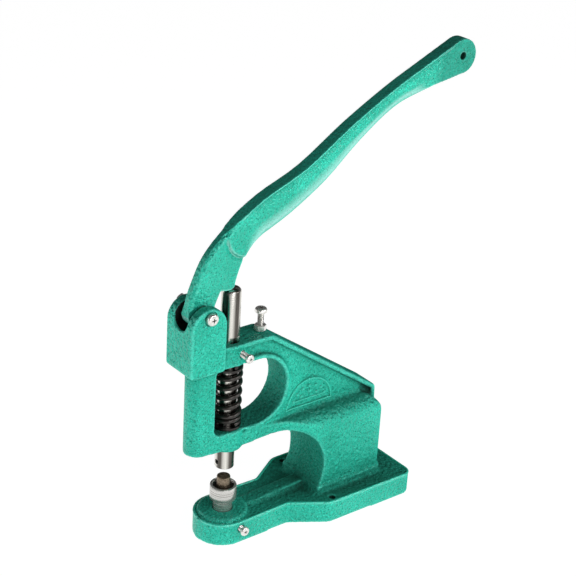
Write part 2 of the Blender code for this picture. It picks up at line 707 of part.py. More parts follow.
def lower_die():
    stem = RAM_RADIUS
    body = turned("die_body", [
        (0, PILOT_BORE_FLOOR), (PILOT_STEM_RADIUS + 0.4, PILOT_BORE_FLOOR),
        (PILOT_STEM_RADIUS + 0.4, SPRING_WELL_FLOOR), (SPRING_WELL_RADIUS, SPRING_WELL_FLOOR),
        (SPRING_WELL_RADIUS, DIE_CUP_FLOOR), (DIE_CUP_BORE, DIE_CUP_FLOOR), (DIE_CUP_BORE, DIE_TOP),
        (DIE_CUP_RADIUS - 0.8, DIE_TOP), (DIE_CUP_RADIUS, DIE_TOP - 0.8), (DIE_CUP_RADIUS, DIE_STEP),
        (stem, DIE_STEP), (stem, DIE_STEM_BOTTOM + 0.6), (stem - 0.6, DIE_STEM_BOTTOM),
        (0, DIE_STEM_BOTTOM),
    ], (0, 0, 0), steps=40)
    finish(body, STEEL)
    flange = DIE_CUP_FLOOR + PILOT_TRAVEL + 0.5
    tail = PILOT_BORE_FLOOR + PILOT_TRAVEL + 0.5
    pilot = turned("die_pilot", [
        (0, PILOT_TOP), (PILOT_RADIUS - 0.5, PILOT_TOP), (PILOT_RADIUS, PILOT_TOP - 0.5),
        (PILOT_RADIUS, flange + PILOT_FLANGE), (PILOT_FLANGE_RADIUS, flange + PILOT_FLANGE),
        (PILOT_FLANGE_RADIUS, flange), (PILOT_STEM_RADIUS, flange), (PILOT_STEM_RADIUS, tail), (0, tail),
    ], (0, 0, 0), steps=32)
    finish(pilot, BRONZE)
    clip_bottom = flange + PILOT_FLANGE + GAP
    clip_top = clip_bottom + CLIP_THICKNESS
    inner, outer = PILOT_RADIUS + 1.0, DIE_CUP_BORE - GAP
    finish(ring("die_retaining_ring", inner, outer, clip_bottom, clip_top, (0, 0, 0)), DARK_STEEL)
    low, high = SPRING_WELL_FLOOR + GAP, flange - GAP
    finish(coil("die_pilot_spring", 0.7, 4.5, low, high, 1.0, 6.0, 1.0, 12), DARK_STEEL)


# ---------------------------------------------------------------- screws on the casting


def casting_screws():
    clamp_length = CLAMP_HEAD_X - RAM_RADIUS - GAP
    guide_length = GUIDE_HEAD_X - GUIDE_FLAT[0] - GAP
    clamp = pan_screw("die_clamp_screw", 4.6, 3.4, clamp_length, (CLAMP_HEAD_X, *CLAMP_AXIS), ALONG_X)
    guide = pan_screw("guide_screw", 4.3, 3.2, guide_length, (GUIDE_HEAD_X, *GUIDE_AXIS), ALONG_X)
    stop = pan_screw("stop_bolt", 5.8, 4.4, STOP_LENGTH, (0, STOP_Y, STOP_HEAD_Z), ALONG_Z)
    nut = hex_nut("stop_lock_nut", 10.0, STOP_NUT_HEIGHT, (0, STOP_Y, ARM_TOP + GAP), ALONG_Z)
    for obj in (clamp, guide, stop, nut):
        finish(obj, ZINC)


def main():
    clear_scene()
    make_collection(PARTS)
    make_collection(CUTTERS)
    frame_casting()
    handle()
    pivot_set()
    ram()
    ram_spring_set()
    lower_die()
    casting_screws()


main()
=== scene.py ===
"""The looks of the snap setting press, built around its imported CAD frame.

Lengths are in millimetres up to where a mesh is made; the camera, the lights and the floor are in
metres. The origin is on the underside, below the common axis of the ram and the lower die; -Y is
the nose and +Z is up.
"""

import math

import bmesh
import bpy
import numpy as np
from mathutils import Matrix, Vector
from mathutils.kdtree import KDTree


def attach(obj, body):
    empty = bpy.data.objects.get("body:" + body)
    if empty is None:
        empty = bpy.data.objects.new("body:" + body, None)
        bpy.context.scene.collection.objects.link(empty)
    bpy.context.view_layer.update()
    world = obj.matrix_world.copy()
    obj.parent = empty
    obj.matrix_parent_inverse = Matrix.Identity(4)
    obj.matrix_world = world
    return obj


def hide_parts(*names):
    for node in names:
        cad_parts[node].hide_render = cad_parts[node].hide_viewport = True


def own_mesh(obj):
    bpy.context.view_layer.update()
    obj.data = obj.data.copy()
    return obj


MM = 0.001

# Axes and places that the frame fixes, as (y, z) unless the name says otherwise
PIVOT = (-35.4, 240.5)
STOP_Y = 34.0
CLAMP_AXIS = (3.0, 15.0)
GUIDE_AXIS = (4.5, 192.8)
BADGE_CENTRE = (86.0, 116.5)
BADGE_RADIUS = 28.0
LOBE_CENTRE = (10.5, 303.2)
SWELL_CENTRE = (40.0, 138.0)
RAM_CROSS_HOLE_Z = 179.2
SET_SCREW_Z = 78.0

# The yoke's slot, between two corners as (x, y, z)
YOKE_SLOT_LOW = (-11.0, -52.5, 222.5)
YOKE_SLOT_HIGH = (11.0, -15.0, 262.0)

# The casting's drilled bore: its radius, and its heights in the lower lug, the upper lug and the nose
BORE_RADIUS = 9.3
BORE_HEIGHTS = ((91.0, 113.0), (184.0, 201.0), (6.0, 24.0))

# The heights between which the ram's return spring sits
RAM_SPRING_LOW, RAM_SPRING_HIGH = 117.8, 174.4

# The pan head screws and the nuts are M6 and share one thread
SHANK_RADIUS = 3.0
NUT_BORE_RADIUS = 3.2
THREAD_PITCH = 1.0
THREAD_DEPTH = 0.55

# Fineness of the skins of the casting, the lever and the badge
CASTING_VOXEL = 1.2
LEVER_VOXEL = 0.75
RELIEF_VOXEL = 0.35

# Where the enamel's tone changes along the knob's end of the lever, and where painted light brightens
# the boss round the die
KNOB_FROM_Y, KNOB_TO_Y = 214.0, 226.0
BOSS_RADIUS, BOSS_FADE_RADIUS = 24.0, 24.3
BOSS_LIT_Z, BOSS_UNLIT_Z = 27.0, 28.0

# The enamel's colours: its own tones and flakes, then a painted sheen, painted edge highlights and
# painted shade
ENAMEL_DEEP = (0.028, 0.545, 0.390)
ENAMEL_PALE = (0.040, 0.685, 0.500)
ENAMEL_FLAKE = (0.006, 0.360, 0.245)
ENAMEL_SHEEN = (0.48, 0.92, 0.84)
ENAMEL_EDGE_HIGHLIGHT = (0.10, 0.78, 0.60)
ENAMEL_SHADE = (0.016, 0.068, 0.050)

# Camera: azimuth, elevation and roll in degrees, place in metres and a small shift to its right
CAMERA_ANGLES = (50.84, 25.29, 3.45)
CAMERA_PLACE = (0.98056, -0.73614, 0.83535)
CAMERA_SHIFT = 0.00094
CAMERA_LENS = 96.56
CAMERA_SENSOR = 36.0

# Lights: name, azimuth and elevation in degrees, distance and size in metres, power in watts
LIGHT_AIM = (0, 60, 180)
LIGHTS = (
    ("key", 78.0, 10.0, 1.6, (0.8, 0.4), 4.5),
    ("front", -8.0, 12.0, 1.6, (0.8, 0.4), 2.5),
    ("edge_front", 88.0, 38.0, 1.7, (0.8, 0.3), 6.0),
    ("edge_right", 130.0, 24.0, 1.8, (1.0, 0.5), 11.0),
    ("edge_left", -47.0, 9.0, 1.8, (0.7, 0.35), 2.6),
)

# The floor's half size in metres, its drop below the underside in millimetres, and what glows
FLOOR_HALF_SIZE = 8.0
FLOOR_DROP = 0.3
FLOOR_GLOW = 0.98
WORLD_GLOW = 0.07

# Direction in which an outline of (y, z) points is extruded along +X
SIDE = Matrix(((0, 0, 1), (1, 0, 0), (0, 1, 0)))

# Turning axes: a turned piece's own +Z points along these
ALONG_Z = Matrix.Identity(3)
ALONG_X = Matrix(((0, 0, 1), (0, 1, 0), (-1, 0, 0)))
ALONG_MINUS_X = Matrix(((0, 0, -1), (0, 1, 0), (1, 0, 0)))
ALONG_MINUS_Y = Matrix(((1, 0, 0), (0, 0, -1), (0, 1, 0)))


# ---------------------------------------------------------------- mesh helpers


def add_mesh(name, mesh):
    """Puts a mesh or a curve into the scene as an object."""
    obj = bpy.data.objects.new(name, mesh)
    bpy.context.scene.collection.objects.link(obj)
    return obj


def applied(obj):
    """Replaces an object's mesh by what its modifiers make of it, with its place in the mesh."""
    view = bpy.context.evaluated_depsgraph_get()
    view.update()
    mesh = bpy.data.meshes.new_from_object(obj.evaluated_get(view))
    mesh.transform(obj.matrix_world)
    name = obj.name
    bpy.data.objects.remove(obj, do_unlink=True)
    mesh.name = name
    return add_mesh(name, mesh)


def cut(obj, tool):
    """Cuts a tool out of an object and removes the tool."""
    modifier = obj.modifiers.new("cut", "BOOLEAN")
    modifier.operation = "DIFFERENCE"
    modifier.solver = "EXACT"
    modifier.object = tool
    result = applied(obj)
    bpy.data.objects.remove(tool, do_unlink=True)
    return result


def arc(centre, radius, start, end, count=8):
    """Points along an arc in degrees, both ends included."""
    points = []
    for i in range(count + 1):
        angle = math.radians(start + (end - start) * i / count)
        points.append((centre[0] + radius * math.cos(angle), centre[1] + radius * math.sin(angle)))
    return points


def rounded(corners, count=6):
    """An outline through (x, y, radius) corners, each corner rounded with its radius."""
    points = []
    for i, (x, y, radius) in enumerate(corners):
        here = Vector((x, y))
        back = (Vector(corners[i - 1][:2]) - here).normalized()
        on = (Vector(corners[(i + 1) % len(corners)][:2]) - here).normalized()
        half = back.angle(on) / 2
        centre = here + (back + on).normalized() * (radius / math.sin(half))
        first = here + back * (radius / math.tan(half)) - centre
        last = here + on * (radius / math.tan(half)) - centre
        turn = first.angle_signed(last)
        for k in range(count + 1):
            spoke = Matrix.Rotation(-turn * k / count, 2) @ first
            points.append((centre.x + spoke.x, centre.y + spoke.y))
    return points


def turned(name, profile, place, axis=ALONG_Z, steps=64):
    """A turned solid: (radius, height) points from its top axis point down its outer side."""
    mesh = bpy.data.meshes.new(name)
    points = [(radius * MM, 0.0, height * MM) for radius, height in profile]
    mesh.from_pydata(points, [(i, i + 1) for i in range(len(points) - 1)], [])
    obj = add_mesh(name, mesh)
    obj.matrix_world = Matrix.Translation(Vector(place) * MM) @ axis.to_4x4()
    screw = obj.modifiers.new("turn", "SCREW")
    screw.steps = steps
    screw.render_steps = steps
    screw.use_merge_vertices = True
    screw.merge_threshold = 0.00001
    return applied(obj)


def prism(name, outline, low, high, place=(0, 0, 0), axis=ALONG_Z):
    """An outline extruded along its own +Z between two heights."""
    work = bmesh.new()
    ring = [work.verts.new((x * MM, y * MM, low * MM)) for x, y in outline]
    face = work.faces.new(ring)
    grown = bmesh.ops.extrude_face_region(work, geom=[face])["geom"]
    moved = [v for v in grown if isinstance(v, bmesh.types.BMVert)]
    bmesh.ops.translate(work, verts=moved, vec=(0, 0, (high - low) * MM))
    bmesh.ops.recalc_face_normals(work, faces=work.faces)
    mesh = bpy.data.meshes.new(name)
    work.to_mesh(mesh)
    work.free()
    mesh.transform(Matrix.Translation(Vector(place) * MM) @ axis.to_4x4())
    return add_mesh(name, mesh)


def tube(name, points, radius, closed=False, sides=3):
    """A round bar along points in millimetres, as a closed mesh."""
    curve = bpy.data.curves.new(name, "CURVE")
    curve.dimensions = "3D"
    curve.bevel_depth = radius * MM
    curve.bevel_resolution = sides
    curve.use_fill_caps = True
    spline = curve.splines.new("POLY")
    spline.points.add(len(points) - 1)
    for point, place in zip(spline.points, points):
        point.co = (*(Vector(place) * MM), 1.0)
    spline.use_cyclic_u = closed
    obj = add_mesh(name + "_path", curve)
    result = applied(obj)
    result.name = name
    weld(result)
    return result


def weld(obj, distance=1e-6):
    """Joins points that coincide and turns every face outward."""
    work = bmesh.new()
    work.from_mesh(obj.data)
    bmesh.ops.remove_doubles(work, verts=work.verts, dist=distance)
    bmesh.ops.recalc_face_normals(work, faces=work.faces)
    work.to_mesh(obj.data)
    work.free()


def merged(name, objects):
    """One object that holds the meshes of several."""
    work = bmesh.new()
    for obj in objects:
        mesh = obj.data.copy()
        mesh.transform(obj.matrix_world)
        work.from_mesh(mesh)
        bpy.data.objects.remove(obj, do_unlink=True)
    mesh = bpy.data.meshes.new(name)
    work.to_mesh(mesh)
    work.free()
    return add_mesh(name, mesh)


def smooth(obj, angle):
    """Shades a piece smooth, except at edges sharper than an angle in degrees."""
    obj.data.shade_smooth()
    if angle < 180.0:
        obj.data.set_sharp_from_angle(angle=math.radians(angle))


def dress(obj, material, body, *nodes, slot=None, angle=35.0):
    """Gives a finished piece its material, its body and the CAD nodes that it stands for."""
    obj.data.materials.clear()
    obj.data.materials.append(material)
    smooth(obj, angle)
    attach(obj, body)
    if nodes:
        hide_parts(*nodes)
    return obj


# ---------------------------------------------------------------- cast pieces


def melt(obj, voxel, passes):
    """Melts overlapping closed shells into one skin with soft fillets and edges."""
    remesh = obj.modifiers.new("melt", "REMESH")
    remesh.mode = "VOXEL"
    remesh.voxel_size = voxel * MM
    remesh.adaptivity = 0.0
    soften = obj.modifiers.new("soften", "SMOOTH")
    soften.factor = 0.5
    soften.iterations = passes
    return applied(obj)


def places_of(mesh):
    """A mesh's points in millimetres, one row each."""
    flat = np.empty(len(mesh.vertices) * 3)
    mesh.vertices.foreach_get("co", flat)
    return flat.reshape(-1, 3) / MM


def put_places(mesh, places):
    """Moves a mesh's points to places in millimetres."""
    mesh.vertices.foreach_set("co", (places * MM).ravel())
    mesh.update()


def true_bore(obj, centre, direction, radius, low, high, reach=1.0):
    """Moves the skin's points near a drilled hole's wall on to that wall."""
    places = places_of(obj.data)
    along = np.array(direction, float)
    offset = places - np.array(centre, float)
    height = offset @ along
    radial = offset - np.outer(height, along)
    distance = np.linalg.norm(radial, axis=1)
    near = (np.abs(distance - radius) < reach) & (height > low) & (height < high)
    radial[near] *= (radius / distance[near])[:, None]
    places[near] = (radial + np.outer(height, along) + np.array(centre, float))[near]
    put_places(obj.data, places)


def base_lip():
    """The half-round lip along the base's top edge."""
    inset = 1.0
    corners = [(28.0 - inset, -28.0 + inset, 26.9), (25.8 - inset, 59.0, 10.0)]
    corners += [(47.5 - inset, 94.0, 16.0), (48.5 - inset, 197.5 - inset, 9.0)]
    corners += [(-x, y, r) for x, y, r in reversed(corners)]
    path = [(x, y, 21.7) for x, y in rounded(corners, 8)]
    lip = tube("base_lip", path, 1.35, closed=True, sides=12)
    dress(lip, lip_enamel(), "frame", slot="frame_casting", angle=180)


def web_bead(side):
    """The uneven bead along the web's foot."""
    path = [(side * 11.2, y, 111.7) for y in (57.0, 90.0, 120.0, 151.0)]
    beads = [tube("web_bead", path, 1.2)]
    for i in range(30):
        bump = bmesh.new()
        size = 1.45 + 0.35 * math.sin(i * 2.4)
        bmesh.ops.create_icosphere(bump, subdivisions=2, radius=size * MM)
        mesh = bpy.data.meshes.new("web_bump")
        bump.to_mesh(mesh)
        bump.free()
        mesh.transform(Matrix.Translation(Vector((side * 11.4, 58.0 + i * 3.15, 111.9)) * MM))
        beads.append(add_mesh("web_bump", mesh))
    return beads


def heel_pocket(side):
    """The hollow between the web's end, the flange and the shoulder."""
    outline = [(151.5, 111.2), (151.5, 119.0), (163.3, 110.8), (163.3, 104.5), (157.5, 108.6)]
    low, high = sorted((side * 9.5, side * 13.5))
    return prism("heel_pocket", outline, low, high, axis=SIDE)


def spot_face(radius, place, axis, depth=0.9):
    """The shallow turned recess under a screw's head."""
    return turned("spot_face", [(0, 3.0), (radius, 3.0), (radius, -depth), (0, -depth)], place, axis, 40)


def casting():
    """The frame casting: a cast skin with drilled bores and spot faces, and painted shade inside the
    yoke's slot.
    """
    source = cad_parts["frame_casting"]
    body = add_mesh("body", source.data.copy())
    weld(body)
    for side in (-1, 1):
        body = cut(body, heel_pocket(side))
    skin = melt(merged("casting", [body, *web_bead(1), *web_bead(-1)]), CASTING_VOXEL, 5)
    for low, high in BORE_HEIGHTS:
        true_bore(skin, (0, 0, 0), (0, 0, 1), BORE_RADIUS, low, high)
    for radius, place, axis in (
        (7.0, (20.0, *PIVOT), ALONG_X),
        (7.0, (-20.0, *PIVOT), ALONG_MINUS_X),
        (4.4, (16.0, *GUIDE_AXIS), ALONG_X),
        (4.4, (27.9, *CLAMP_AXIS), ALONG_X),
    ):
        skin = cut(skin, spot_face(radius, place, axis))
    dress(skin, green_enamel(), "frame", "frame_casting", angle=60)
    skin.data.materials.append(slot_painted_shade())
    # Faces inside the yoke's slot take the second material, a near-black painted shade
    places = np.array([face.center for face in skin.data.polygons]) / MM
    low, high = np.array(YOKE_SLOT_LOW), np.array(YOKE_SLOT_HIGH)
    inside = ((places > low) & (places < high)).all(axis=1)
    skin.data.polygons.foreach_set("material_index", inside.astype(np.int32))


def web_face(y, z):
    """How far out the web stands beside the badge, where it swells towards the window."""
    distance = math.hypot(y - SWELL_CENTRE[0], z - SWELL_CENTRE[1])
    swell = 14.0 - 3.5 * (distance - 24.0) / 22.0
    return max(12.6, swell) + 0.1


def badge():
    """A plain border, a row of studs and a bar: relief without any lettering."""
    y, z = BADGE_CENTRE
    rim = arc(BADGE_CENTRE, BADGE_RADIUS - 1.0, 0.0, 180.0, 28)
    rim += [(y - 27.0 + 6.0 * i, z + 0.6) for i in range(10)]
    parts = [tube("border", [(web_face(u, v), u, v) for u, v in rim], 1.15, closed=True)]
    bar = [(y - 19.0 + 9.5 * i, z + 7.0) for i in range(5)]
    parts.append(tube("bar", [(web_face(u, v), u, v) for u, v in bar], 0.9))
    dome = [(0, 1.3), (1.0, 1.15), (1.8, 0.5), (2.0, -0.8), (0, -0.8)]
    for radius, first, last, count in ((20.0, 22.0, 158.0, 6), (14.0, 50.0, 130.0, 2)):
        for u, v in arc(BADGE_CENTRE, radius, first, last, count):
            parts.append(turned("stud", dome, (web_face(u, v), u, v), ALONG_X, 20))
    relief = melt(merged("badge_relief", parts), RELIEF_VOXEL, 3)
    dress(relief, relief_enamel(), "frame", slot="frame_casting", angle=180)


def rim_distance(mesh, places, outward):
    """How far each point lies from the piece's narrow rim that faces outward in (y, z)."""
    normals = np.array([v.normal for v in mesh.vertices])
    facing = normals @ np.array((0.0, *outward))
    rim = places[(np.abs(places[:, 0]) < 0.8) & (facing > 0.55)]
    tree = KDTree(len(rim))
    for i, place in enumerate(rim):
        tree.insert((0.0, place[1], place[2]), i)
    tree.balance()
    return np.array([tree.find((0.0, y, z))[2] for _, y, z in places])


def fade(values, start, stop, end_start, end_stop):
    """Rises from 0 to 1 over the first pair and falls back to 0 over the second."""
    rise = (values - start) / (stop - start)
    fall = (end_stop - values) / (end_stop - end_start)
    return np.clip(np.minimum(rise, fall), 0.0, 1.0)


def round_side(obj, outward, width, drop, most, share_of):
    """Rounds both sides off towards a rim and lets that rim hang out a little."""
    places = places_of(obj.data)
    share = share_of(places)
    closeness = np.clip(1.0 - rim_distance(obj.data, places, outward) / width, 0.0, most)
    places[:, 0] *= 1.0 - share + share * np.sqrt(1.0 - closeness ** 2)
    places[:, 1:] += np.outer(drop * share * closeness ** 1.5, outward)
    put_places(obj.data, places)


def groove_side(obj):
    """Leaves a thin raised line along the grip's top edge, then a valley and a slow crown."""
    places = places_of(obj.data)
    distance = rim_distance(obj.data, places, (-0.6, 0.8))
    share = fade(places[:, 1], 2.0, 16.0, 214.0, 238.0)
    depth = np.interp(distance, (0.0, 1.3, 2.3, 4.5, 8.0, 13.0), (0.0, 0.0, 0.33, 0.25, 0.12, 0.0))
    places[:, 0] *= 1.0 - share * depth
    # A soft step round the lobe, where the tang meets the grip
    from_lobe = np.hypot(places[:, 1] - LOBE_CENTRE[0], places[:, 2] - LOBE_CENTRE[1])
    beyond = np.interp(from_lobe, (18.5, 20.3, 21.3, 25.0), (0.0, 0.18, 0.18, 0.0))
    places[:, 0] *= 1.0 - beyond * np.clip((306.0 - places[:, 2]) / 8.0, 0.0, 1.0)
    put_places(obj.data, places)


def lever():
    """The handle: a cast skin with a crowned grip, a rounded tang and a groove beside its top edge."""
    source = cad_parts["handle"]
    body = add_mesh("lever", source.data.copy())
    weld(body)
    skin = melt(body, LEVER_VOXEL, 4)
    round_side(
        skin, outward=(0.6, -0.8), width=15.0, drop=2.2, most=0.97,
        share_of=lambda at: fade(at[:, 1], 8.0, 26.0, 180.0, 208.0),
    )
    round_side(
        skin, outward=(-0.88, 0.48), width=4.5, drop=0.0, most=0.8,
        share_of=lambda at: fade(at[:, 2], 240.0, 248.0, 308.0, 322.0),
    )
    soften = skin.modifiers.new("soften", "SMOOTH")
    soften.factor = 0.5
    soften.iterations = 3
    skin = applied(skin)
    groove_side(skin)
    dress(skin, lever_enamel(), "handle", "handle", angle=180)


# ---------------------------------------------------------------- machine screws


def recess(size, depth, place, axis):
    """A cross recess: two crossed bars that taper with depth."""
    bars = []
    for turn in (0, 90):
        half, thin = size, size * 0.24
        work = bmesh.new()
        bmesh.ops.create_cube(work, size=2.0)
        for vert in work.verts:
            taper = 1.0 if vert.co.z > 0 else 0.45
            vert.co = Vector((vert.co.x * half * taper, vert.co.y * thin * taper, vert.co.z * depth))
            vert.co = vert.co * MM
        mesh = bpy.data.meshes.new("recess")
        work.to_mesh(mesh)
        work.free()
        mesh.transform(Matrix.Rotation(math.radians(turn), 4, "Z"))
        mesh.transform(Matrix.Translation(Vector(place) * MM) @ axis.to_4x4())
        bars.append(add_mesh("recess", mesh))
    return bars


def thread(radius, pitch, depth, low, high, sides=28, per_pitch=6):
    """The points of a threaded shank, ring by ring from its low end."""
    rings = int((high - low) / pitch * per_pitch)
    rows = []
    for i in range(rings + 1):
        height = low + (high - low) * i / rings
        row = []
        for k in range(sides):
            phase = (height / pitch - k / sides) % 1.0
            bite = depth * abs(2.0 * phase - 1.0)
            run_out = min(1.0, (height - low) / pitch, (high - height) / pitch)
            angle = 2 * math.pi * k / sides
            reach = radius - bite * max(run_out, 0.15)
            row.append((reach * math.cos(angle), reach * math.sin(angle), height))
        rows.append(row)
    return rows


def threaded_rod(name, radius, low, high, place, axis):
    """A threaded shank as a closed solid."""
    rows = thread(radius, THREAD_PITCH, THREAD_DEPTH, low, high)
    work = bmesh.new()
    made = [[work.verts.new(Vector(p) * MM) for p in row] for row in rows]
    count = len(made[0])
    for below, above in zip(made, made[1:]):
        for k in range(count):
            work.faces.new((below[k], below[(k + 1) % count], above[(k + 1) % count], above[k]))
    work.faces.new(list(reversed(made[0])))
    work.faces.new(made[-1])
    mesh = bpy.data.meshes.new(name)
    work.to_mesh(mesh)
    work.free()
    mesh.transform(Matrix.Translation(Vector(place) * MM) @ axis.to_4x4())
    return add_mesh(name, mesh)


def pan_head(name, radius, height, place, axis):
    """A domed head standing on its place, with a cross recess in its crown."""
    dome = arc((radius - height * 0.55, height * 0.42), height * 0.55, 90.0, 0.0, 6)
    profile = [(0, height), (radius * 0.45, height * 0.995), *dome]
    profile += [(radius, 0.35), (radius - 0.35, 0), (0, 0)]
    head = turned(name, profile, place, axis, 48)
    top = axis @ Vector((0, 0, height)) + Vector(place)
    for bar in recess(radius * 0.52, height * 0.55, top, axis):
        head = cut(head, bar)
    return head


def screw(name, node, body, head_radius, head_height, length, place, axis):
    """A pan head screw; its place is where the head's underside meets its axis."""
    head = pan_head(name, head_radius, head_height, place, axis)
    rod = threaded_rod(name + "_rod", SHANK_RADIUS, -length, 0.3, place, axis)
    return dress(merged(name, [head, rod]), zinc(), body, node)


def hex_nut(name, node, body, across, height, place, axis):
    """A hexagon nut, its corners chamfered by a turned blank."""
    bore = NUT_BORE_RADIUS
    corner = across / 2 / math.cos(math.radians(30))
    blank = [(0, height), (across / 2 * 0.96, height), (corner * 1.01, height - 0.75)]
    blank += [(corner * 1.01, 0.75), (across / 2 * 0.96, 0), (0, 0)]
    nut = turned(name, blank, place, axis, 60)
    sides = prism("sides", arc((0, 0), corner, 0, 300, 5), -2, height + 2, place, axis)
    meet = nut.modifiers.new("sides", "BOOLEAN")
    meet.operation = "INTERSECT"
    meet.object = sides
    nut = applied(nut)
    bpy.data.objects.remove(sides, do_unlink=True)
    hole = [(0, height + 1), (bore + 1.1, height + 1), (bore, height - 0.45)]
    hole += [(bore, 0.45), (bore + 1.1, -1), (0, -1)]
    nut = cut(nut, turned("hole", hole, place, axis, 40))
    return dress(nut, zinc(), body, node)


def screws():
    """The four pan head screws and the two nuts."""
    screw("pivot_screw", "pivot_bolt", "frame", 5.8, 4.5, 47.0, (20.3, *PIVOT), ALONG_X)
    hex_nut("pivot_hex_nut", "pivot_nut", "frame", 11.0, 4.4, (-21.6, *PIVOT), ALONG_MINUS_X)
    for name, node, head_radius, head_height, length, place, axis in (
        ("clamp_screw", "die_clamp_screw", 4.6, 3.3, 21.8, (31.1, *CLAMP_AXIS), ALONG_X),
        ("guide_pin_screw", "guide_screw", 4.3, 3.1, 16.4, (24.0, *GUIDE_AXIS), ALONG_X),
        ("stroke_stop", "stop_bolt", 5.8, 4.3, 33.0, (0, STOP_Y, 221.5), ALONG_Z),
    ):
        screw(name, node, node, head_radius, head_height, length, place, axis)
    stop = (0, STOP_Y, 203.3)
    hex_nut("stop_hex_nut", "stop_lock_nut", "stop_lock_nut", 10.0, 5.5, stop, ALONG_Z)


# ---------------------------------------------------------------- ram, spring and die


def ram():
    """The ram with its set screw's hole, cross hole and guide flat, and the set screw."""
    low, top, radius, socket = 71.6, 253.9, 9.0, 4.1
    profile = [(0, top), (5.8, top), (6.9, top - 0.2), (7.9, top - 0.85), (8.6, top - 1.7)]
    profile += [(radius, top - 2.6), (radius, low + 0.7), (radius - 0.2, low + 0.2)]
    profile += [(radius - 0.6, low), (socket + 0.5, low), (socket, low + 0.6)]
    profile += [(socket, low + 22.0), (0, low + 24.0)]
    plunger = turned("plunger", profile, (0, 0, 0), steps=96)
    set_screw_hole = [(0, 20.0), (3.0, 20.0), (2.4, 8.5), (2.3, 2.0), (0, 2.0)]
    cross_hole = [(0, 20.0), (2.3, 20.0), (2.3, -20.0), (0, -20.0)]
    guide_flat = [(7.3, -9.0), (12.0, -9.0), (12.0, 9.0), (7.3, 9.0)]
    set_screw_place = (0, 0, SET_SCREW_Z)
    plunger = cut(plunger, turned("hole", set_screw_hole, set_screw_place, ALONG_MINUS_Y, 32))
    plunger = cut(plunger, turned("hole", cross_hole, (0, 0, RAM_CROSS_HOLE_Z), ALONG_X, 32))
    plunger = cut(plunger, prism("flat", guide_flat, 187.0, 208.0))
    dress(plunger, polished_steel(), "ram", "ram")
    grub = [(0, 7.0), (1.2, 7.0), (1.2, 7.9), (1.7, 7.9)]
    grub += [(2.0, 7.6), (2.0, 4.9), (1.6, 4.5), (0, 4.5)]
    grub = turned("grub_screw", grub, set_screw_place, ALONG_MINUS_Y, 32)
    dress(grub, black_steel(), "upper_die_set_screw", "upper_die_set_screw")


def helix(mean, low, high, closed_low, open_turns, closed_high, closed_pitch, per_turn):
    """The centre line of a compression spring with closed end turns."""
    open_pitch = (high - low - (closed_low + closed_high) * closed_pitch) / open_turns
    turns = closed_low + open_turns + closed_high
    count = int(turns * per_turn)
    points = []
    for i in range(count + 1):
        turn = turns * i / count
        middle = min(max(turn - closed_low, 0.0), open_turns)
        height = low + (turn - middle) * closed_pitch + middle * open_pitch
        angle = 2 * math.pi * turn
        points.append((mean * math.cos(angle), mean * math.sin(angle), height))
    return points


def springs():
    """The ram's return spring and the centre pin's small spring, each squashed by its slide."""
    wire, low, high = 2.2, RAM_SPRING_LOW, RAM_SPRING_HIGH
    line = helix(
        mean=11.55, low=low + wire, high=high - wire, closed_low=2.0, open_turns=3.8,
        closed_high=1.0, closed_pitch=2 * wire + 0.4, per_turn=40,
    )
    coil = tube("return_spring", line, wire, sides=6)
    dress(coil, black_gloss(), "frame", "ram_spring", angle=60)
    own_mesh(coil)
    line = helix(
        mean=4.5, low=21.0, high=44.5, closed_low=1.0, open_turns=6.0,
        closed_high=1.0, closed_pitch=1.8, per_turn=24,
    )
    small = tube("pilot_return_spring", line, 0.7, sides=3)
    dress(small, black_steel(), "frame", "die_pilot_spring", angle=60)
    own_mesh(small)


def lower_die():
    """The die's cup on its stem, and the centre pin in it."""
    body = turned("die_holder", [
        (0, 8.5), (2.8, 8.5), (2.8, 20.0), (6.4, 20.0), (6.4, 40.0), (10.0, 40.0),
        (10.0, 50.4), (10.4, 51.0), (11.7, 51.0), (12.35, 50.75), (12.6, 50.2), (12.6, 37.1),
        (12.4, 36.7), (12.0, 36.5), (9.0, 36.5), (9.0, 6.2), (8.1, 5.3), (0, 5.3),
    ], (0, 0, 0), steps=96)
    dress(body, turned_steel(), "frame", "die_body")
    pilot = turned("pilot_pin", [
        (0, 59.2), (0.9, 59.9), (1.3, 60.0), (5.6, 60.0), (6.15, 59.8), (6.35, 59.4),
        (6.35, 47.5), (8.8, 47.5), (8.8, 45.5), (2.4, 45.5), (2.4, 14.0), (0, 14.0),
    ], (0, 0, 0), steps=64)
    dress(pilot, bronze(), "die_pilot", "die_pilot")


def carried_over():
    """CAD nodes whose plain shape is right take a better material."""
    for names, material in (
        (("pivot_spacer_left", "pivot_spacer_right"), polished_steel()),
        (("pivot_washer",), zinc()),
        (("ram_cross_pin", "die_retaining_ring"), black_steel()),
        (("spring_seat_upper", "spring_seat_lower"), black_steel()),
    ):
        for name in names:
            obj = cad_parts[name]
            obj.data.materials.clear()
            obj.data.materials.append(material)


# ---------------------------------------------------------------- materials


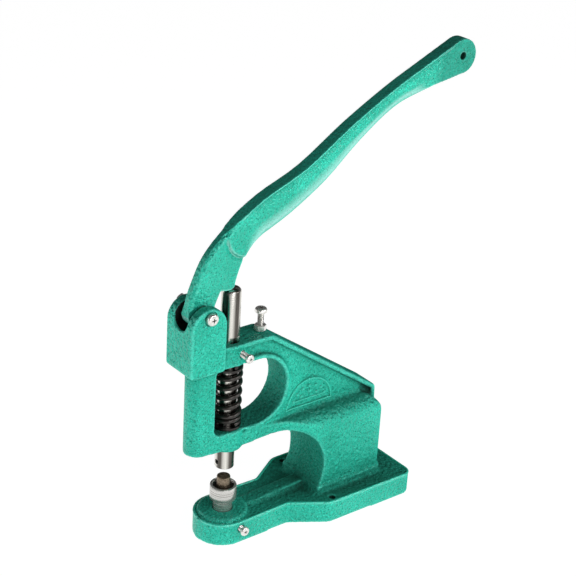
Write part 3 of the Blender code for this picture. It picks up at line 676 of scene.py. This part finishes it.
class Look:
    """A Principled material under construction; its node helpers return output sockets."""

    def __init__(self, name, **values):
        self.material = bpy.data.materials.new(name)
        self.material.use_nodes = True
        self.nodes = self.material.node_tree.nodes
        self.links = self.material.node_tree.links
        self.shader = self.nodes["Principled BSDF"]
        for key, value in values.items():
            self.shader.inputs[key.replace("_", " ")].default_value = value
        self.place = self.nodes.new("ShaderNodeTexCoord").outputs["Object"]

    def node(self, kind, links=(), **values):
        """Adds a node; a link is a socket to join or a constant to set."""
        made = self.nodes.new(kind)
        for key, value in values.items():
            setattr(made, key, value)
        for key, source in dict(links).items():
            if isinstance(source, bpy.types.NodeSocket):
                self.links.new(source, made.inputs[key])
            else:
                made.inputs[key].default_value = source
        return made

    def noise(self, size, detail=2.0, roughness=0.5, stretch=None):
        """Noise whose grains are about so many millimetres across."""
        place = self.place
        if stretch:
            place = self.node("ShaderNodeMapping", {"Vector": place, "Scale": stretch}).outputs[0]
        values = {"Vector": place, "Scale": 1 / (size * MM), "Detail": detail, "Roughness": roughness}
        return self.node("ShaderNodeTexNoise", values).outputs["Fac"]

    def ramp(self, source, low, high, bottom=0.0, top=1.0):
        """Maps low to bottom and high to top, clamped at both."""
        values = {"Value": source, "From Min": low, "From Max": high, "To Min": bottom, "To Max": top}
        return self.node("ShaderNodeMapRange", values).outputs[0]

    def mix(self, factor, first, second):
        """Mixes two colours; the node's sockets share names, so they go by index."""
        made = self.node("ShaderNodeMix", data_type="RGBA")
        for index, source in ((0, factor), (6, first), (7, second)):
            if isinstance(source, bpy.types.NodeSocket):
                self.links.new(source, made.inputs[index])
            else:
                made.inputs[index].default_value = source if index == 0 else (*source, 1.0)
        return made.outputs[2]

    def math(self, operation, first, second):
        return self.node("ShaderNodeMath", {0: first, 1: second}, operation=operation).outputs[0]

    def occlusion(self, distance, low, high):
        """From 0 in a nook to 1 in the open, as the piece itself shades a point."""
        values = {"Distance": distance * MM}
        made = self.node("ShaderNodeAmbientOcclusion", values, samples=6, only_local=True)
        return self.ramp(made.outputs["AO"], low, high)

    def bump(self, height, distance, strength=1.0, below=None):
        """A normal for a height that spans a distance in millimetres, on top of another bump."""
        values = {"Height": height, "Distance": distance * MM, "Strength": strength}
        if below is not None:
            values["Normal"] = below
        return self.node("ShaderNodeBump", values).outputs[0]

    def set(self, name, source):
        self.links.new(source, self.shader.inputs[name])


def once(make):
    """Makes a material on first use and returns the same one afterwards."""
    kept = []

    def get():
        if not kept:
            kept.append(make())
        return kept[0]

    return get


def hammertone(name, gloss, depth, top_shade=0.55, painted_sheen=0.0):
    """Green hammertone enamel: dimpled, with painted shade on top and in nooks, and painted highlights
    on its edges.
    """
    look = Look(name, Coat_Roughness=0.14, Specular_IOR_Level=0.0)
    coordinates = look.node("ShaderNodeTexCoord").outputs
    normal = look.node("ShaderNodeSeparateXYZ", {"Vector": coordinates["Normal"]}).outputs
    place = look.node("ShaderNodeSeparateXYZ", {"Vector": look.place}).outputs
    # Painted highlights on edges, painted shade on tops and in nooks, the darker knob and painted light
    # on the boss set how dark the colour is
    pointed = look.node("ShaderNodeNewGeometry").outputs["Pointiness"]
    edge = look.ramp(pointed, 0.505, 0.545, 0.0, 0.85)
    nook = look.math("MULTIPLY", look.occlusion(80.0, 0.45, 0.94), look.occlusion(7.0, 0.15, 0.80))
    knob = look.ramp(place["Y"], KNOB_FROM_Y * MM, KNOB_TO_Y * MM, 1.0, 0.60)
    level = {0: look.place, 1: (1.0, 1.0, 0.0)}
    level = look.node("ShaderNodeVectorMath", level, operation="MULTIPLY").outputs[0]
    from_ram = look.node("ShaderNodeVectorMath", {0: level}, operation="LENGTH").outputs["Value"]
    # Painted light: the boss round the die, below its top, is made paler
    low_down = look.ramp(place["Z"], BOSS_UNLIT_Z * MM, BOSS_LIT_Z * MM, 0.0, 0.66)
    near_ram = look.ramp(from_ram, BOSS_FADE_RADIUS * MM, BOSS_RADIUS * MM)
    boss = look.math("MULTIPLY", low_down, near_ram)
    shade = look.math("MULTIPLY", nook, look.ramp(normal["Z"], 0.15, 0.75, 1.0, top_shade))
    shade = look.math("MAXIMUM", look.math("MAXIMUM", shade, boss), edge)
    shade = look.math("MULTIPLY", shade, knob)
    # Painted shade: metal and coat fade in nooks, on the knob and on faces that look to the rear
    open_air = look.math("MULTIPLY", nook, look.math("MULTIPLY", nook, knob))
    open_air = look.math("MULTIPLY", open_air, look.ramp(normal["Y"], 0.05, 0.35, 1.0, 0.0))
    broad = look.noise(38.0, 3.0)
    grain = look.noise(1.5, 3.0, 0.6)
    dimples = look.noise(3.2, 1.5, 0.5)
    base = look.mix(look.ramp(broad, 0.35, 0.65), ENAMEL_DEEP, ENAMEL_PALE)
    flake = look.mix(look.ramp(grain, 0.30, 0.56), ENAMEL_FLAKE, base)
    # A painted highlight: a band of slopes on the lower sides is made pale
    sheen = look.math(
        "MULTIPLY", look.ramp(normal["Z"], -0.03, -0.26, 0.0, painted_sheen),
        look.ramp(normal["Z"], -0.58, -0.30, 0.1, 1.0),
    )
    with_sheen = look.mix(sheen, flake, ENAMEL_SHEEN)
    # Painted highlights along pointed edges
    edge_lit = look.mix(edge, with_sheen, ENAMEL_EDGE_HIGHLIGHT)
    look.set("Base Color", look.mix(shade, ENAMEL_SHADE, edge_lit))
    # Painted shade: less metal on faces that look up
    look.set("Metallic", look.math("MULTIPLY", open_air, look.ramp(normal["Z"], 0.60, 0.95, 0.5, 0.15)))
    look.set("Coat Weight", look.math("MULTIPLY", open_air, gloss))
    look.set("Roughness", look.ramp(grain, 0.3, 0.7, 0.24, 0.40))
    coarse = look.bump(dimples, depth)
    look.set("Normal", look.bump(grain, 0.8, 0.9, coarse))
    look.set("Coat Normal", coarse)
    return look.material


@once
def green_enamel():
    """The casting's enamel."""
    return hammertone("green_hammertone_enamel", 0.3, 3.3)


@once
def lip_enamel():
    """The base lip's enamel: almost smooth, and glossy."""
    return hammertone("green_lip_enamel", 1.0, 0.35, top_shade=1.0)


@once
def relief_enamel():
    """The badge's enamel: shallowly dimpled."""
    return hammertone("green_relief_enamel", 0.3, 0.5)


@once
def lever_enamel():
    """The lever's enamel: glossier, with a painted sheen on the lower side of the grip."""
    return hammertone("green_lever_enamel", 0.5, 1.9, painted_sheen=0.62)


@once
def slot_painted_shade():
    """Near-black iron inside the yoke's slot, as painted shade."""
    look = Look("slot_painted_shade_iron", Metallic=0.4)
    blotch = look.noise(2.5, 4.0, 0.6)
    look.set("Base Color", look.mix(blotch, (0.002, 0.003, 0.003), (0.010, 0.014, 0.012)))
    look.set("Roughness", look.ramp(blotch, 0.3, 0.7, 0.45, 0.7))
    look.set("Normal", look.bump(blotch, 0.2, 0.6))
    return look.material


@once
def polished_steel():
    """Ground round bar with painted reflections: dark and bright streaks along it."""
    look = Look("polished_steel", Metallic=1.0)
    # Painted reflections: five dark and bright bands round the axis
    turn = look.node("ShaderNodeTexGradient", {"Vector": look.place}, gradient_type="RADIAL")
    phase = look.math("MULTIPLY", look.math("ADD", turn.outputs["Fac"], 0.039), 5.0 * 2.0 * math.pi)
    reflection_band = look.math("SINE", phase, 0.0)
    streak = look.noise(0.9, 3.0, 0.6, stretch=(1.0, 1.0, 0.03))
    tone = look.mix(look.ramp(reflection_band, -0.75, 0.9), (0.060, 0.054, 0.046), (0.84, 0.82, 0.76))
    look.set("Base Color", look.mix(look.ramp(streak, 0.35, 0.65, 0.0, 0.3), tone, (0.30, 0.28, 0.25)))
    look.set("Roughness", look.ramp(streak, 0.3, 0.7, 0.18, 0.32))
    look.set("Normal", look.bump(streak, 0.01, 0.5))
    return look.material


@once
def turned_steel():
    """Plated steel with fine rings from turning."""
    look = Look("turned_steel", Metallic=0.75)
    lines = look.noise(0.9, 2.0, 0.6, stretch=(0.02, 0.02, 1.0))
    tone = look.mix(look.ramp(lines, 0.35, 0.65), (0.34, 0.33, 0.31), (0.80, 0.79, 0.76))
    look.set("Base Color", tone)
    look.set("Roughness", look.ramp(lines, 0.3, 0.7, 0.16, 0.3))
    look.set("Normal", look.bump(lines, 0.03, 0.5))
    return look.material


@once
def zinc():
    """Blotchy zinc plate, with painted shade in its recesses."""
    look = Look("zinc_plate", Metallic=0.85)
    blotch = look.noise(2.2, 3.0)
    plate = look.mix(look.ramp(blotch, 0.35, 0.65), (0.74, 0.72, 0.68), (0.92, 0.91, 0.88))
    # Painted shade: dark brown where the piece's own recesses shade it
    look.set("Base Color", look.mix(look.occlusion(2.5, 0.35, 0.75), (0.07, 0.055, 0.035), plate))
    look.set("Roughness", look.ramp(blotch, 0.3, 0.7, 0.22, 0.36))
    look.set("Normal", look.bump(look.noise(0.4), 0.02, 0.4))
    return look.material


@once
def black_steel():
    """Blackened steel."""
    look = Look("black_steel", Metallic=1.0)
    blotch = look.noise(1.5, 3.0)
    look.set("Base Color", look.mix(blotch, (0.03, 0.03, 0.03), (0.08, 0.075, 0.07)))
    look.set("Roughness", look.ramp(blotch, 0.3, 0.7, 0.3, 0.45))
    look.set("Normal", look.bump(blotch, 0.02, 0.4))
    return look.material


@once
def black_gloss():
    """Black enamel on spring steel."""
    look = Look("black_spring_enamel", Metallic=0.8, Coat_Weight=0.5, Coat_Roughness=0.08)
    speck = look.noise(1.0, 3.0)
    look.set("Base Color", look.mix(speck, (0.012, 0.010, 0.009), (0.045, 0.038, 0.032)))
    look.set("Roughness", look.ramp(speck, 0.3, 0.7, 0.30, 0.45))
    look.set("Normal", look.bump(look.noise(0.7), 0.02, 0.4))
    return look.material


@once
def bronze():
    """Oiled bronze."""
    look = Look("oiled_bronze", Metallic=0.9)
    blotch = look.noise(1.6, 4.0, 0.6)
    tone = look.mix(look.ramp(blotch, 0.35, 0.65), (0.10, 0.075, 0.05), (0.36, 0.29, 0.21))
    look.set("Base Color", tone)
    look.set("Roughness", look.ramp(blotch, 0.3, 0.7, 0.3, 0.5))
    look.set("Normal", look.bump(blotch, 0.03, 0.5))
    return look.material


# ---------------------------------------------------------------- studio


def direction(azimuth, elevation):
    """A unit vector away from the press, from an azimuth and an elevation in radians."""
    level = math.cos(elevation)
    return Vector((math.sin(azimuth) * level, -math.cos(azimuth) * level, math.sin(elevation)))


def camera():
    """The camera that sees the press from its nose and +X side."""
    azimuth, elevation, roll = (math.radians(angle) for angle in CAMERA_ANGLES)
    back = direction(azimuth, elevation)
    right = Vector((math.cos(azimuth), math.sin(azimuth), 0.0))
    up = back.cross(right)
    across = right * math.cos(roll) + up * math.sin(roll)
    above = up * math.cos(roll) - right * math.sin(roll)
    data = bpy.data.cameras.new("camera")
    data.sensor_width = CAMERA_SENSOR
    data.lens = CAMERA_LENS
    data.clip_start = 0.05
    data.clip_end = 50.0
    obj = bpy.data.objects.new("camera", data)
    bpy.context.scene.collection.objects.link(obj)
    place = Vector(CAMERA_PLACE) + across * CAMERA_SHIFT
    turn = Matrix((across, above, back)).transposed().to_4x4()
    obj.matrix_world = Matrix.Translation(place) @ turn
    bpy.context.scene.camera = obj


def soft_box(name, azimuth, elevation, distance, size, power):
    """A rectangular light that faces the press from an azimuth and an elevation in degrees."""
    light = bpy.data.lights.new(name, "AREA")
    light.shape = "RECTANGLE"
    light.size, light.size_y = size
    light.energy = power
    obj = bpy.data.objects.new(name, light)
    bpy.context.scene.collection.objects.link(obj)
    away = direction(math.radians(azimuth), math.radians(elevation))
    obj.location = Vector(LIGHT_AIM) * MM + away * distance
    obj.rotation_mode = "QUATERNION"
    obj.rotation_quaternion = away.to_track_quat("Z", "Y")


def floor():
    """A wide pale floor that glows evenly."""
    look = Look("pale_floor", Roughness=0.9)
    look.shader.inputs["Base Color"].default_value = (0.10, 0.10, 0.10, 1.0)
    look.shader.inputs["Emission Color"].default_value = (1.0, 1.0, 1.0, 1.0)
    look.shader.inputs["Emission Strength"].default_value = FLOOR_GLOW
    work = bmesh.new()
    bmesh.ops.create_grid(work, x_segments=1, y_segments=1, size=FLOOR_HALF_SIZE)
    mesh = bpy.data.meshes.new("floor")
    work.to_mesh(mesh)
    work.free()
    sheet = add_mesh("floor", mesh)
    sheet.location.z = -FLOOR_DROP * MM
    mesh.materials.append(look.material)


def studio():
    """The floor, the lights and the world round the press."""
    floor()
    for light in LIGHTS:
        soft_box(*light)
    world = bpy.data.worlds.new("studio")
    world.use_nodes = True
    background = world.node_tree.nodes["Background"]
    background.inputs["Color"].default_value = (1.0, 1.0, 1.0, 1.0)
    background.inputs["Strength"].default_value = WORLD_GLOW
    bpy.context.scene.world = world
    bpy.context.scene.view_settings.view_transform = "Standard"


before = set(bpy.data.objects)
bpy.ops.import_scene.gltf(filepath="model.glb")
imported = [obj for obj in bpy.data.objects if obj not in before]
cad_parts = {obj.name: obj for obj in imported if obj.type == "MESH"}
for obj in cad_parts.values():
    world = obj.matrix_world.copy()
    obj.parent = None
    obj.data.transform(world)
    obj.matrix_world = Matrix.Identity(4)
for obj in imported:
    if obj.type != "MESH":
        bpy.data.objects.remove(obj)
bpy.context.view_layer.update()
casting()
base_lip()
badge()
lever()
screws()
ram()
springs()
lower_die()
carried_over()
camera()
studio()
